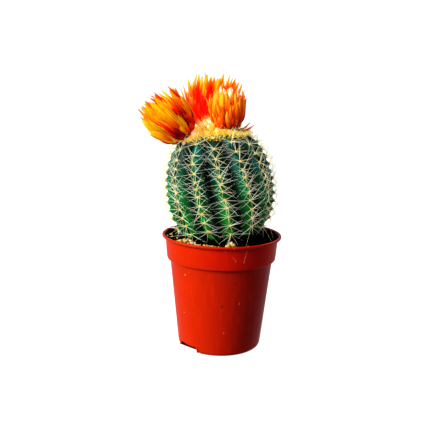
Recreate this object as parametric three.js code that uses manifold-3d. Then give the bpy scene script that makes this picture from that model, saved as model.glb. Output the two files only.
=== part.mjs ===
// A round ribbed cactus in a thin plastic nursery pot: a barrel-shaped stem with fourteen ribs, a row of felted areoles
// with spines down each rib, a woolly crown, three papery flower heads, roots in peaty soil, and loose tan grains.
// Millimetres, +Z up. The origin is under the middle of the pot, on the surface that it stands on, and the front is -Y.
import * as THREE from "three";
import { mergeVertices } from "three/addons/utils/BufferGeometryUtils.js";
import Module from "manifold-3d";

const wasm = await Module();
wasm.setup();

// Driving dimensions
const TURN = 2 * Math.PI;
const GAP = 0.35; // clear space kept between touching pieces
const pot = {
  rim: 42.5, // radius over the lip
  foot: 29.6, // radius at the foot
  taper: 7, // how much wider the wall is where it meets the rim band
  height: 81.5,
  wall: 1.2,
  floor: 1.6,
  shoulder: 63.9, // height at which the wall steps out to the rim band
  bandStep: 2.2, // how far the band stands out from the wall
  bandFlare: 1.3, // how much wider the band is at its top
  lip: 1.9, // width of the lip's top
  lipDrop: 2, // height of the lip
  round: 3, // radius of the foot's edge
  sides: 56,
};
const drain = { turn: -47.5, apart: 180, count: 2, width: 17, height: 4.6, depth: 6, slot: 2.6 };
const stem = {
  ribs: 14,
  radius: 37.4, // over the ribs
  half: 41.4, // height of the upper half, over the widest place
  low: 33.8, // depth of the lower half
  barrel: 0.285, // 0.5 would be an ellipsoid, less is squarer
  lowBarrel: 0.25,
  groove: 6.2,
  centre: new THREE.Vector3(-2.3, 1.9, 112),
  lean: -0.108, // radians, towards -X
  phase: 0.09,
  twist: -0.153,
  stepsPerRib: 5,
};
const soil = { height: 79.6, mound: 0.4 };
// Areoles stand closest a little over the middle of a rib, and wider apart above and below
const areoles = { middle: 7, step: 4.9, stretch: 0.17, lowest: -26, highest: 35, central: 8.5, radial: 0.36 };
const petal = { skin: 0.55, step: 1.15, nest: 1.5, base: 5.6, split: 0.45 };
// Each flower head: the middle of its base and the way it faces in the stem's frame, its length, and its mouth's radius
const flowers = {
  left: { at: [-19.5, -10.4, 39.2], faces: [-0.72, -0.14, 0.68], length: 31, mouth: 15.5, cup: 1.7, bracts: 12 },
  back: { at: [-6.4, 13.4, 45.8], faces: [0.2, 0.28, 0.94], length: 29.5, mouth: 19, cup: 1.3, bracts: 13 },
  right: { at: [9.8, -8.2, 43.8], faces: [0.06, -0.05, 1], length: 25.5, mouth: 13.2, cup: 2.4, bracts: 11 },
};
const grains = { count: 16, size: 2.7 };

const colours = {
  plastic: { color: 0xc3200a, roughness: 0.42, metalness: 0 },
  peat: { color: 0x1a120d, roughness: 0.95, metalness: 0 },
  flesh: { color: 0x14562f, roughness: 0.5, metalness: 0 },
  root: { color: 0xb99a72, roughness: 0.85, metalness: 0 },
  wool: { color: 0xe6c264, roughness: 0.95, metalness: 0 },
  spine: { color: 0xe4dba8, roughness: 0.55, metalness: 0 },
  bract: { color: 0xe85a08, roughness: 0.6, metalness: 0 },
  floret: { color: 0xf3d98a, roughness: 0.8, metalness: 0 },
  grain: { color: 0xd3ad6c, roughness: 0.9, metalness: 0 },
};
const paints = Object.fromEntries(
  Object.entries(colours).map(([name, look]) => [name, new THREE.MeshStandardMaterial(look)]),
);

function node(name, geometry, paint, parent) {
  const made = new THREE.Mesh(geometry, paints[paint]);
  made.name = name;
  parent.add(made);
  return made;
}

// Closed solids

// A skin through closed rings of equally many points, each ring anticlockwise as seen from where the rings lead.
function skin(rings) {
  const around = rings[0].length;
  const middle = (ring) => ring.reduce((sum, p) => sum.add(p), new THREE.Vector3()).divideScalar(around);
  const points = [...rings.flat(), middle(rings[0]), middle(rings.at(-1))];
  const start = points.length - 2;
  const end = points.length - 1;
  const last = (rings.length - 1) * around;
  const faces = [];
  for (let i = 0; i < around; i++) {
    const next = (i + 1) % around;
    for (let k = 0; k < rings.length - 1; k++) {
      const here = k * around;
      const there = here + around;
      faces.push(here + i, here + next, there + next, here + i, there + next, there + i);
    }
    faces.push(start, next, i, end, last + i, last + next);
  }
  return new THREE.BufferGeometry().setFromPoints(points).setIndex(faces);
}

// A solid turned about +Z from an outline of [radius, height] points that runs up the outside, from the axis to the axis.
function turned(outline, sides) {
  const profile = outline.map(([r, z]) => new THREE.Vector2(r, z));
  return new THREE.LatheGeometry(profile, sides).rotateX(Math.PI / 2);
}

// Booleans
function solid(geometry) {
  const plain = geometry.clone();
  plain.deleteAttribute("normal");
  plain.deleteAttribute("uv");
  const merged = mergeVertices(plain, 1e-3);
  const shape = { numProp: 3, vertProperties: merged.attributes.position.array, triVerts: merged.index.array };
  shape.triVerts = new Uint32Array(shape.triVerts);
  return new wasm.Manifold(new wasm.Mesh(shape));
}

function geometryOf(made) {
  const mesh = made.getMesh();
  return new THREE.BufferGeometry()
    .setAttribute("position", new THREE.BufferAttribute(mesh.vertProperties, mesh.numProp))
    .setIndex(new THREE.BufferAttribute(mesh.triVerts, 1));
}

// The pot
const shoulderRadius = pot.foot + pot.taper;
const bandRadius = shoulderRadius + pot.bandStep;
const bandTop = pot.height - pot.lipDrop;

function potOutside(path) {
  path.moveTo(0, 0);
  path.lineTo(pot.foot - pot.round, 0);
  path.quadraticCurveTo(pot.foot, 0, pot.foot + 0.3, pot.round);
  path.lineTo(shoulderRadius, pot.shoulder);
  path.lineTo(bandRadius - 1, pot.shoulder + 0.3);
  path.quadraticCurveTo(bandRadius, pot.shoulder + 0.5, bandRadius + 0.1, pot.shoulder + 2);
  path.lineTo(bandRadius + pot.bandFlare, bandTop);
  path.quadraticCurveTo(pot.rim, bandTop + 0.4, pot.rim, bandTop + 1.2);
  path.quadraticCurveTo(pot.rim, pot.height, pot.rim - 0.6, pot.height);
  return path;
}

function potInside(path, clear = 0) {
  const inner = pot.wall + clear;
  path.lineTo(pot.rim - pot.lip - clear, pot.height);
  path.lineTo(bandRadius + pot.bandFlare - inner, bandTop - 0.2);
  path.lineTo(bandRadius + 0.1 - inner, pot.shoulder + 2.6 + clear);
  path.lineTo(shoulderRadius - inner, pot.shoulder + 0.6 + clear);
  path.lineTo(pot.foot + 0.3 - inner, pot.round + clear);
  path.lineTo(pot.foot - pot.round - inner, pot.floor + clear);
  path.lineTo(0, pot.floor + clear);
  return path;
}

const outlineOf = (path) => path.getPoints(3).map((p) => [p.x, p.y]);

// A pocket in the foot that lets water out: seen from outside it is a low arch whose corners flare at the ground
function drainPocket(grow, reach) {
  const half = drain.width / 2 + grow;
  const top = drain.height + grow;
  const arch = new THREE.Shape();
  arch.moveTo(-half - 2, -1);
  arch.quadraticCurveTo(-half, 0, -half + 0.4, top - 1);
  arch.quadraticCurveTo(-half + 0.6, top, -half + 2, top);
  arch.lineTo(half - 2, top);
  arch.quadraticCurveTo(half - 0.6, top, half - 0.4, top - 1);
  arch.quadraticCurveTo(half, 0, half + 2, -1);
  const block = new THREE.ExtrudeGeometry(arch, { depth: reach, bevelEnabled: false, curveSegments: 3 });
  block.rotateX(Math.PI / 2); // now the arch stands up and faces -Y
  return block.translate(0, -(pot.foot - drain.depth - grow), 0);
}

function potGeometry() {
  const envelope = solid(turned([...outlineOf(potOutside(new THREE.Path())), [0, pot.height]], pot.sides));
  let made = solid(turned(outlineOf(potInside(potOutside(new THREE.Path()))), pot.sides));
  const spread = Array.from({ length: drain.count }, (_, i) => drain.turn + i * drain.apart);
  for (const degrees of spread) {
    const facing = THREE.MathUtils.degToRad(degrees);
    const housing = solid(drainPocket(pot.wall, drain.depth + 3).rotateZ(facing));
    made = made.add(housing.intersect(envelope));
    made = made.subtract(solid(drainPocket(0, drain.depth + 6).rotateZ(facing)));
    const slot = new THREE.BoxGeometry(drain.width * 0.6, drain.slot, 6);
    slot.translate(0, -(pot.foot - drain.depth / 2 - 1), drain.height).rotateZ(facing);
    made = made.subtract(solid(slot));
  }
  return geometryOf(made);
}

// The stem
const bodyShare = (z) => Math.max(0, 1 - (z / (z < 0 ? stem.low : stem.half)) ** 2);
const bodyRadius = (z) => stem.radius * bodyShare(z) ** (z < 0 ? stem.lowBarrel : stem.barrel);
const crestTurn = (rib, z) => stem.phase + (rib * TURN) / stem.ribs + (stem.twist * z) / stem.half;

function bodyPoint(rib, z, out = 0) {
  const fromCrest = Math.abs(rib - Math.round(rib)) * 2;
  const r = Math.max(0.4, bodyRadius(z) + out - stem.groove * bodyShare(z) ** 0.6 * fromCrest ** 1.3);
  const turn = crestTurn(rib, z);
  return new THREE.Vector3(r * Math.sin(turn), -r * Math.cos(turn), z);
}

function bodyLevels(steps, low, high) {
  const shares = Array.from({ length: steps + 1 }, (_, i) => Math.sin(THREE.MathUtils.lerp(low, high, i / steps)));
  return shares.map((share) => share * (share < 0 ? stem.low : stem.half));
}

function stemGeometry(out = 0) {
  const around = stem.ribs * stem.stepsPerRib;
  const ring = (z) => Array.from({ length: around }, (_, i) => bodyPoint(i / stem.stepsPerRib, z, out));
  const rings = bodyLevels(14, -1.45, 1.4).map(ring);
  const dimple = rings.at(-1).map((p) => new THREE.Vector3(p.x * 0.4, p.y * 0.4, p.z - 1.4));
  return skin([...rings, dimple]);
}

// Roots: a short tap root under the stem with thinner ones that run out and down. With grow they are that much fatter
// and longer, which gives the room that the soil leaves them.
function taper(points, thick, thin, grow, sides = 6) {
  const curve = new THREE.CatmullRomCurve3(points);
  const steps = points.length * 2;
  const frames = curve.computeFrenetFrames(steps, false);
  const rings = Array.from({ length: steps + 1 }, (_, k) => {
    const r = THREE.MathUtils.lerp(thick, thin, k / steps) + grow;
    const longer = k === 0 ? grow * -4 : k === steps ? grow : 0;
    const centre = curve.getPointAt(k / steps).addScaledVector(frames.tangents[k], longer);
    return Array.from({ length: sides }, (_, i) => {
      const turn = (i / sides) * TURN;
      const side = frames.normals[k].clone().multiplyScalar(Math.cos(turn) * r);
      return centre.clone().add(side).addScaledVector(frames.binormals[k], Math.sin(turn) * r);
    });
  });
  return skin(rings);
}

function rootSolid(grow = 0) {
  const tap = [-stem.low - 1.2, -45, -57, -70].map((z, i) => new THREE.Vector3(i * 0.5, i * -0.3, z));
  let made = solid(taper(tap, 6, 1.4, grow, 8));
  const count = 7;
  for (let i = 0; i < count; i++) {
    const turn = (i / count) * TURN + 0.3;
    const drop = 20 + 6 * (i % 3);
    const out = (r, z) => new THREE.Vector3(r * Math.cos(turn + r * 0.012), r * Math.sin(turn + r * 0.012), z);
    const run = [out(1.5, -45 - i), out(10, -49 - i), out(18, -52 - drop * 0.5), out(23, -48 - drop)];
    made = made.add(solid(taper(run, 1.9, 0.7, grow)));
  }
  return made;
}

// Soil fills the pot up to a low mound, and is hollowed where the stem and roots are
const soilHeight = (r) => soil.height + soil.mound * (1 - r / pot.rim);

function soilGeometry(plantToPot) {
  const inside = outlineOf(potInside(new THREE.Path().moveTo(pot.rim, pot.height + 5), GAP));
  const wall = inside.filter(([, z]) => z < soil.height).reverse();
  const edge = bandRadius + pot.bandFlare - pot.wall - GAP;
  const surface = [edge, 34, 24, 12, 0].map((r) => [r, soilHeight(r)]);
  let made = solid(turned([...wall, ...surface], 40));
  const buried = solid(stemGeometry(GAP).applyMatrix4(plantToPot));
  const rooted = solid(geometryOf(rootSolid(GAP)).applyMatrix4(plantToPot));
  made = made.subtract(buried).subtract(rooted);
  const pockets = Array.from({ length: drain.count }, (_, i) => drain.turn + i * drain.apart);
  for (const degrees of pockets) {
    const facing = THREE.MathUtils.degToRad(degrees);
    made = made.subtract(solid(drainPocket(pot.wall + GAP, drain.depth + 6).rotateZ(facing)));
  }
  return geometryOf(made);
}

// One row of areoles: a line of felt down a rib's crest that swells at each areole into three spines
function spineRow(rib) {
  const stations = [];
  for (let place = 7 + ((rib + 1) % 2) / 2; place > -8; place--) {
    const z = areoles.middle - areoles.step * place - areoles.stretch * place * Math.abs(place);
    if (z > areoles.lowest && z < areoles.highest) stations.push([z - 1.1, 0], [z, 1], [z + 1.1, 0]);
  }
  const rings = stations.map(([z, spiny], at) => {
    const centre = bodyPoint(rib, z, GAP + 0.5);
    const turn = crestTurn(rib, z);
    const side = new THREE.Vector3(Math.cos(turn), Math.sin(turn), 0);
    const slope = (bodyRadius(z + 0.5) - bodyRadius(z - 0.5)) / 1;
    const out = new THREE.Vector3(Math.sin(turn), -Math.cos(turn), -slope).normalize();
    const pitch = (TURN * bodyRadius(z)) / stem.ribs;
    const high = at > stations.length - 6; // these lie against the wool and the flowers
    const fade = high ? 0.35 : at < 6 ? 0.5 : 1; // and the lowest stay inside the rim of the pot
    const radial = spiny ? pitch * areoles.radial * fade : 0.9;
    const central = spiny ? areoles.central * fade : 0.5;
    const lift = spiny ? 0.35 : 0;
    const reach = (s, o) => centre.clone().addScaledVector(side, s).addScaledVector(out, o);
    return [reach(0, -0.25), reach(-radial, lift * radial), reach(0, central), reach(radial, lift * radial)];
  });
  return skin(rings);
}

// The crown's wool: a low cushion on the growing point, cut away around the flower heads
const crownHeight = (r) => stem.half * Math.sqrt(1 - Math.min(1, r / stem.radius) ** (1 / stem.barrel));

function woolGeometry(cuts) {
  const under = [0, 7, 12, 16, 20, 22.5].map((r) => [r, crownHeight(r + 0.3) + GAP + 0.3]);
  const top = [22.5, 18, 13, 7, 0].map((r) => [r, crownHeight(r + 0.3) + 0.9 + 4.4 * Math.cos((r / 22.5) * 1.4)]);
  let made = solid(turned([...under, ...top], 28));
  for (const cut of cuts) made = made.subtract(solid(cut));
  return geometryOf(made);
}

// A whorl of bracts: a thin cup whose rim is cut into points, one to a bract. Inner whorls stand inside outer ones.
function whorl(flower, layer, grow = 0) {
  const columns = flower.bracts * 2;
  const foot = layer * petal.step;
  const top = flower.length * (1 + 0.05 * layer);
  const cup = (z) => {
    const open = 1 - (1 - Math.min(1, z / flower.length)) ** flower.cup;
    return petal.base + (flower.mouth - petal.base) * open - layer * petal.nest;
  };
  const ring = (share, inset) =>
    Array.from({ length: columns }, (_, i) => {
      const between = i % 2 === 1 && share > petal.split && grow === 0;
      const z = THREE.MathUtils.lerp(foot, top, between ? petal.split + (share - petal.split) * 0.25 : share);
      const turn = ((i + layer) / columns) * TURN;
      const r = cup(z) - inset + grow;
      return new THREE.Vector3(r * Math.cos(turn), r * Math.sin(turn), z + inset * (1 - share) - grow);
    });
  const outside = [0, 0.2, 0.42, 0.72, 1].map((share) => ring(share, 0));
  if (grow > 0) return skin(outside);
  return skin([...outside, ...[0.99, 0.7, 0.4, 0.18, 0].map((share) => ring(share, petal.skin))]);
}

function receptacle(grow = 0) {
  return turned([[0, -7 - grow], [2.4 + grow, -7 - grow], [2.6 + grow, -3.5], [4.6 + grow, -0.8 + grow], [4.6 + grow, -GAP + grow], [0, -GAP + grow]], 12);
}

function discGeometry() {
  const low = 2 * petal.step + petal.skin + GAP;
  return turned([[0, low], [2, low], [2.9, low + 2.2], [2.6, low + 4.2], [1.4, low + 5], [0, low + 5.2]], 10);
}

// Put together
const part = new THREE.Group();
const plant = new THREE.Group();
plant.position.copy(stem.centre);
plant.rotation.y = stem.lean;
part.add(plant);
plant.updateMatrixWorld(true);

node("pot", potGeometry(), "plastic", part);
node("soil", soilGeometry(plant.matrixWorld), "peat", part);
node("roots", geometryOf(rootSolid()), "root", plant);
for (let rib = 0; rib < stem.ribs; rib++) {
  node(`rib_${String(rib + 1).padStart(2, "0")}_areoles`, spineRow(rib), "spine", plant);
}

const seats = []; // the room that the flower heads take up in the wool and the flesh
for (const [name, flower] of Object.entries(flowers)) {
  const head = new THREE.Group();
  head.position.set(...flower.at);
  head.quaternion.setFromUnitVectors(new THREE.Vector3(0, 0, 1), new THREE.Vector3(...flower.faces).normalize());
  plant.add(head);
  head.updateMatrix();
  node(`flower_${name}_base`, receptacle(), "bract", head);
  ["outer", "middle", "inner"].forEach((place, layer) => {
    node(`flower_${name}_${place}_bracts`, whorl(flower, layer), "bract", head);
  });
  node(`flower_${name}_disc`, discGeometry(), "floret", head);
  seats.push(whorl(flower, 0, GAP).applyMatrix4(head.matrix), receptacle(GAP).applyMatrix4(head.matrix));
}
const flesh = seats.reduce((body, seat) => body.subtract(solid(seat)), solid(stemGeometry()));
node("stem", geometryOf(flesh), "flesh", plant);
node("crown_wool", woolGeometry(seats), "wool", plant);

// Loose grains lie on the soil in two clusters at the front
for (let i = 0; i < grains.count; i++) {
  const clustered = i >= 12;
  const along = clustered ? (i - 12) * 4.6 + 4 : -50 + (i >> 1) * 7 + (i % 2) * 3;
  const r = 37.2 - (i % 2) * 3.4;
  const size = grains.size * (0.8 + 0.11 * (i % 4));
  const grain = new THREE.IcosahedronGeometry(size / 2, 0);
  grain.scale(1.15, 0.9, 0.85).rotateZ(i * 1.7);
  const turn = THREE.MathUtils.degToRad(along);
  grain.translate(r * Math.sin(turn), -r * Math.cos(turn), soilHeight(r) + size * 0.45 + GAP);
  node(`grain_${String(i + 1).padStart(2, "0")}`, grain, "grain", part);
}

export default part;
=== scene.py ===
import math
import random

import bmesh
import bpy
from mathutils import Matrix, Vector


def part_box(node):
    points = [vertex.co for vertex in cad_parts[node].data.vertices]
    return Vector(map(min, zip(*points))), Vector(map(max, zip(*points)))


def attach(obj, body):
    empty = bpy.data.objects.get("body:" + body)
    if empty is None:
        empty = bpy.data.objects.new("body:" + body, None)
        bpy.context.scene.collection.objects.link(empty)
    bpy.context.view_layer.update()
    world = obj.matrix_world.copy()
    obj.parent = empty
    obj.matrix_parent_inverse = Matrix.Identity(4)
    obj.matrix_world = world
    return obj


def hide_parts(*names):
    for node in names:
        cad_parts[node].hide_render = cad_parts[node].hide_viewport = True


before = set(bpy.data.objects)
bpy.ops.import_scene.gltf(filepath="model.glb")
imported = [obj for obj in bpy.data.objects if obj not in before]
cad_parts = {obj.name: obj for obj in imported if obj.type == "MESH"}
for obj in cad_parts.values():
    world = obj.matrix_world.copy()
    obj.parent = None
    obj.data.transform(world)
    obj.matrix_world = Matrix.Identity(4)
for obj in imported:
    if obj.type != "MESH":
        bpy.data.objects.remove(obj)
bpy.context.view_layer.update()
chance = random.Random(14)
anyTurn = (0, 6.28)
mm = 0.001
print("frame:", len(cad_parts), "nodes")


# Selecting and editing

def makeActive(*pieces):
    bpy.ops.object.select_all(action="DESELECT")
    for piece in pieces:
        piece.select_set(True)
    bpy.context.view_layer.objects.active = pieces[0]


def openMesh(piece):
    makeActive(piece)
    bpy.ops.object.mode_set(mode="EDIT")
    bpy.ops.mesh.select_mode(type="VERT")
    bpy.ops.mesh.select_all(action="DESELECT")
    return bmesh.from_edit_mesh(piece.data)


def closeMesh():
    bpy.ops.object.mode_set(mode="OBJECT")


def pick(mesh, points):
    # leaves exactly these points selected
    for point in mesh.verts:
        point.select = False
    for point in points:
        point.select = True
    mesh.select_flush_mode()


def pickAll():
    bpy.ops.mesh.select_all(action="SELECT")


def grouped(points, key):
    # the points in lists, each with one value of the key
    groups = {}
    for point in points:
        groups.setdefault(key(point), []).append(point)
    return groups


def faceOutwards():
    pickAll()
    bpy.ops.mesh.normals_make_consistent(inside=False)


def stretch(x, y, z, about=(0, 0, 0)):
    bpy.ops.transform.resize(value=(x, y, z), center_override=about)


def shift(x, y, z):
    bpy.ops.transform.translate(value=(x, y, z))


def modify(piece, kind, **settings):
    makeActive(piece)
    modifier = piece.modifiers.new(kind.title(), kind)
    for key, value in settings.items():
        setattr(modifier, key, value)
    bpy.ops.object.modifier_apply(modifier=modifier.name)


def note(piece, name, values):
    # a number kept for each point, which materials read
    layer = piece.data.attributes.new(name, "FLOAT", "POINT")
    layer.data.foreach_set("value", values)


def copyJoined(model, places, **notes):
    # one copy of the model at each place, each with its own numbers, joined to one piece
    made = []
    for index, place in enumerate(places):
        copy = model.copy()
        copy.data = model.data.copy()
        copy.data.transform(place)
        for name, values in notes.items():
            note(copy, name, [values[index]] * len(copy.data.vertices))
        bpy.context.collection.objects.link(copy)
        made.append(copy)
    return joinAll(made)


def joinAll(pieces):
    makeActive(*pieces)
    bpy.ops.object.join()
    return bpy.context.object


def finishPiece(piece, name, finish, nodes=(), smooth=40):
    makeActive(piece)
    bpy.ops.object.transform_apply(location=True, rotation=True, scale=True)
    bpy.ops.object.shade_smooth_by_angle(angle=math.radians(smooth))
    piece.name = piece.data.name = name
    piece.data.materials.clear()
    piece.data.materials.append(finish)
    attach(piece, "root")
    if nodes:
        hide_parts(*nodes)


def turnedShape(outline, sides):
    # a ring is drawn out along an outline of (radius, height), and closed at both ends
    radius, height = outline[0]
    bpy.ops.mesh.primitive_circle_add(vertices=sides, radius=radius, location=(0, 0, height))
    piece = bpy.context.object
    bpy.ops.object.transform_apply(location=True)
    openMesh(piece)
    pickAll()
    bpy.ops.mesh.edge_face_add()
    bpy.ops.mesh.select_mode(type="EDGE")
    for nextRadius, nextHeight in outline[1:]:
        bpy.ops.mesh.extrude_region_move(TRANSFORM_OT_translate={"value": (0, 0, nextHeight - height)})
        stretch(nextRadius / radius, nextRadius / radius, 1, (0, 0, nextHeight))
        radius, height = nextRadius, nextHeight
    closeMesh()
    return piece


# Materials

class Wire:
    # one socket of a material; arithmetic on it adds Math nodes
    def __init__(self, finish, socket):
        self.finish, self.socket = finish, socket

    def maths(self, operation, *values):
        return self.finish.node("Math", {"operation": operation}, dict(enumerate(values)))

    def __add__(self, other):
        return self.maths("ADD", self, other)

    def __sub__(self, other):
        return self.maths("SUBTRACT", self, other)

    def __rsub__(self, other):
        return self.maths("SUBTRACT", other, self)

    def __mul__(self, other):
        return self.maths("MULTIPLY", self, other)

    __radd__ = __add__
    __rmul__ = __mul__

    def above(self, level, softness):
        # 0 under the level, 1 over it
        return self.finish.node("MapRange", {"clamp": True},
                                {0: self, 1: level - softness, 2: level + softness})


class Finish:
    def __init__(self, name, **fixed):
        self.material = bpy.data.materials.new(name)
        self.material.use_nodes = True
        self.tree = self.material.node_tree
        self.shader = self.tree.nodes["Principled BSDF"]
        for key, value in fixed.items():
            self.shader.inputs[key.replace("_", " ")].default_value = value
        self.place = self.node("TexCoord", output="Object")

    def node(self, kind, settings=(), sockets=(), output=0):
        made = self.tree.nodes.new("ShaderNode" + kind)
        for key, value in dict(settings).items():
            if key != "stops":
                setattr(made, key, value)
                continue
            ramp = made.color_ramp.elements
            ramp.remove(ramp[1])
            ramp[0].position, ramp[0].color = value[0][0], (*value[0][1], 1)
            for stop, colour in value[1:]:
                ramp.new(stop).color = (*colour, 1)
        for key, value in dict(sockets).items():
            if isinstance(value, Wire):
                self.tree.links.new(value.socket, made.inputs[key])
            else:
                made.inputs[key].default_value = value
        return Wire(self, made.outputs[output])

    def noise(self, scale, detail=3, where=None, roughness=0.5):
        return self.node("TexNoise", {}, {"Vector": where or self.place, "Scale": scale,
                                          "Detail": detail, "Roughness": roughness})

    def stretched(self, x, y, z):
        return self.node("Mapping", {}, {"Vector": self.place, "Scale": (x, y, z)})

    def attribute(self, name):
        return self.node("Attribute", {"attribute_name": name}, output="Fac")

    def ramp(self, amount, *stops):
        return self.node("ValToRGB", {"stops": stops}, {0: amount})

    def blend(self, amount, first, second):
        ends = [end if isinstance(end, Wire) else (*end, 1) for end in (first, second)]
        return self.node("Mix", {"data_type": "RGBA"}, {0: amount, 6: ends[0], 7: ends[1]}, 2)

    def part(self, axis, where=None):
        return self.node("SeparateXYZ", {}, {0: where or self.place}, axis)

    def set(self, name, value):
        self.tree.links.new(value.socket, self.shader.inputs[name])

    def paint(self, colour):
        # painted glow: the colour is also given out as light, so these pieces glow a little in their own
        # colour though they are no lamp
        self.set("Base Color", colour)
        self.set("Emission Color", colour)

    def bump(self, height, distance):
        self.set("Normal", self.node("Bump", {}, {"Height": height, "Distance": distance}))


def potPlastic():
    f = Finish("potPlastic", Specular_IOR_Level=0.08)
    cloud = f.noise(45, 4)
    fine = f.noise(900, 2)
    drawn = f.noise(60, 4, f.stretched(6, 6, 0.5))
    specks = f.noise(430, 1, roughness=0.2).above(0.81, 0.01)
    dirt = f.noise(330, 1, f.stretched(1, 1.3, 0.8), 0.2).above(0.81, 0.01)
    # painted light: the pot runs from a darker red on the right to a lighter orange-red on the left, the side
    # facing the light
    paintedLitSide = f.node("MapRange", {}, {0: f.part("X"), 1: 0.032, 2: -0.034})
    colour = f.blend(paintedLitSide, (0.45, 0.0012, 0.0002), (0.56, 0.034, 0.0))
    colour = f.blend(cloud * 0.4, colour, (0.5, 0.004, 0.0002))
    colour = f.blend(drawn.above(0.6, 0.12) * 0.25, colour, (0.74, 0.035, 0.0005))
    # painted light: the band above the shoulder is painted a brighter red on the shaded right side, more so
    # farther from the light
    band = f.part("Z").above(0.064, 0.001)
    colour = f.blend(band * (1 - paintedLitSide) * 0.55, colour, (0.85, 0.006, 0.0002))
    colour = f.blend(specks * 0.6, colour, (0.85, 0.35, 0.25))
    colour = f.blend(dirt * 0.8, colour, (0.04, 0.008, 0.005))
    # painted shade: the inner wall under the lip and the insides of the pockets are painted near-black,
    # broken by noise, as if in shadow
    paintedRecessShade = f.attribute("inside") * f.noise(160, 4).above(0.3, 0.2)
    f.set("Base Color", f.blend(paintedRecessShade, colour, (0.006, 0.003, 0.002)))
    f.set("Roughness", 0.24 + cloud * 0.14 + paintedRecessShade * 0.5)
    f.bump(drawn * 0.6 + fine * 0.2, 0.12 * mm)
    return f.material


def peat():
    f = Finish("peat", Specular_IOR_Level=0.03)
    crumb = f.noise(700, 6, roughness=0.7)
    f.set("Base Color", f.ramp(crumb, (0.3, (0.0006, 0.0005, 0.0004)),
                               (0.62, (0.004, 0.0028, 0.0018)), (0.8, (0.03, 0.02, 0.01))))
    f.set("Roughness", 0.8 + crumb * 0.15)
    f.bump(crumb, 0.8 * mm)
    return f.material


def flesh():
    f = Finish("flesh", Specular_IOR_Level=0.16)
    valley = f.attribute("valley")
    height = f.part("Z")
    patch = f.noise(75, 3)
    pores = f.noise(1500, 2)
    upper = f.node("MapRange", {}, {0: height, 1: 0.098, 2: 0.136})
    skin = f.blend(upper, (0.002, 0.21, 0.022), (0.001, 0.05, 0.037))
    # painted highlight: noise patches painted lighter green, and teal higher up, stand in for gloss
    # reflecting the sky
    paintedSheen = patch.above(0.54, 0.1) * 0.75
    skin = f.blend(paintedSheen, skin, f.blend(upper, (0.016, 0.46, 0.05), (0.004, 0.26, 0.2)))
    skin = f.blend(f.noise(120, 2).above(0.6, 0.06) * 0.35, skin, (0.002, 0.02, 0.01))
    # painted shade: the grooves between the ribs are painted near-black
    skin = f.blend(valley.above(0.42, 0.34) * 0.95, skin, (0.0006, 0.006, 0.0045))
    f.set("Base Color", skin)
    f.set("Roughness", 0.34 + patch * 0.2)
    f.bump(pores * 0.4 + patch * 0.6, 0.15 * mm)
    return f.material


def felt(name, near, far, pale, paintedGlow=0.0):
    f = Finish(name, Roughness=0.95, Emission_Strength=paintedGlow)
    strand = f.noise(1400, 3)
    colour = f.blend(f.attribute("tint"), f.blend(strand, near, far), pale)
    f.paint(colour)
    f.bump(strand, 0.3 * mm)
    return f.material


def horn(name, foot, shaft, point, paintedGlow=0.0):
    f = Finish(name, Specular_IOR_Level=0.4, Emission_Strength=paintedGlow)
    grain = f.noise(900, 2)
    colour = f.ramp(f.attribute("along"), (0.0, foot), (0.25, shaft), (1.0, point))
    colour = f.blend(f.attribute("tint"), colour, (0.66, 0.6, 0.08))
    colour = f.blend(grain * 0.3, colour, shaft)
    f.paint(colour)
    f.set("Roughness", 0.4 + grain * 0.2)
    f.bump(grain, 0.05 * mm)
    return f.material


def crownWool():
    # painted glow: the wool gives out some of its own colour as light
    f = Finish("crownWool", Roughness=0.95, Emission_Strength=0.3)
    strand = f.noise(900, 4, f.stretched(1, 1, 0.4))
    colour = f.blend(strand.above(0.5, 0.2), (0.16, 0.07, 0.002), (1.0, 0.62, 0.03))
    f.paint(colour)
    f.bump(strand, 0.9 * mm)
    return f.material


def bractPaper(name, foot, low, middle, tip, streak, gold, turns=0.5, paintedGlow=0.25):
    # dry petal-like scales, dark at the foot and pale at the point, with veins along them; the dark foot is
    # partly their own colour and partly painted shade where they crowd at the head's base
    f = Finish(name, Specular_IOR_Level=0.12, Emission_Strength=paintedGlow)
    across = f.part("X", f.node("UVMap", {"uv_map": "UVMap"}))
    along = f.attribute("along") * f.attribute("tall")
    tint = f.attribute("tint")
    lines = f.node("CombineXYZ", {}, {0: across * 7 + tint * 31, 1: along * 1.6, 2: tint * 17})
    veins = f.noise(1.6, 3, lines)
    reach = along + (veins - 0.5) * 0.5 + (tint - 0.5) * gold
    colour = f.ramp(reach, (0.06, foot), (0.26, low), (turns, middle), (turns + 0.35, tip))
    colour = f.blend(veins.above(0.57, 0.05) * 0.85, colour, streak)
    f.paint(colour)
    f.set("Roughness", 0.45 + veins * 0.2)
    f.bump(veins, 0.25 * mm)
    return f.material


def tanStone():
    f = Finish("granule", Roughness=0.85)
    fleck = f.noise(900, 4)
    colour = f.blend(fleck, (0.3, 0.16, 0.02), (0.86, 0.56, 0.13))
    f.set("Base Color", f.blend(f.attribute("tint").above(0.75, 0.25), colour, (0.96, 0.84, 0.55)))
    f.bump(fleck, 0.3 * mm)
    return f.material


def fibre(name, pale, dark):
    f = Finish(name, Roughness=0.7)
    grain = f.noise(500, 3)
    f.set("Base Color", f.blend(grain, pale, dark))
    f.bump(grain, 0.1 * mm)
    return f.material


def paleFloor():
    # bright enough by itself that only a faint shadow lies on it
    f = Finish("paleFloor", Roughness=0.9, Specular_IOR_Level=0.0, Emission_Color=(1, 1, 1, 1),
               Emission_Strength=0.82)
    f.set("Base Color", f.blend(f.noise(3, 2) * 0.1, (0.34, 0.34, 0.34), (0.3, 0.3, 0.3)))
    return f.material


# Camera, light and floor

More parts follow.
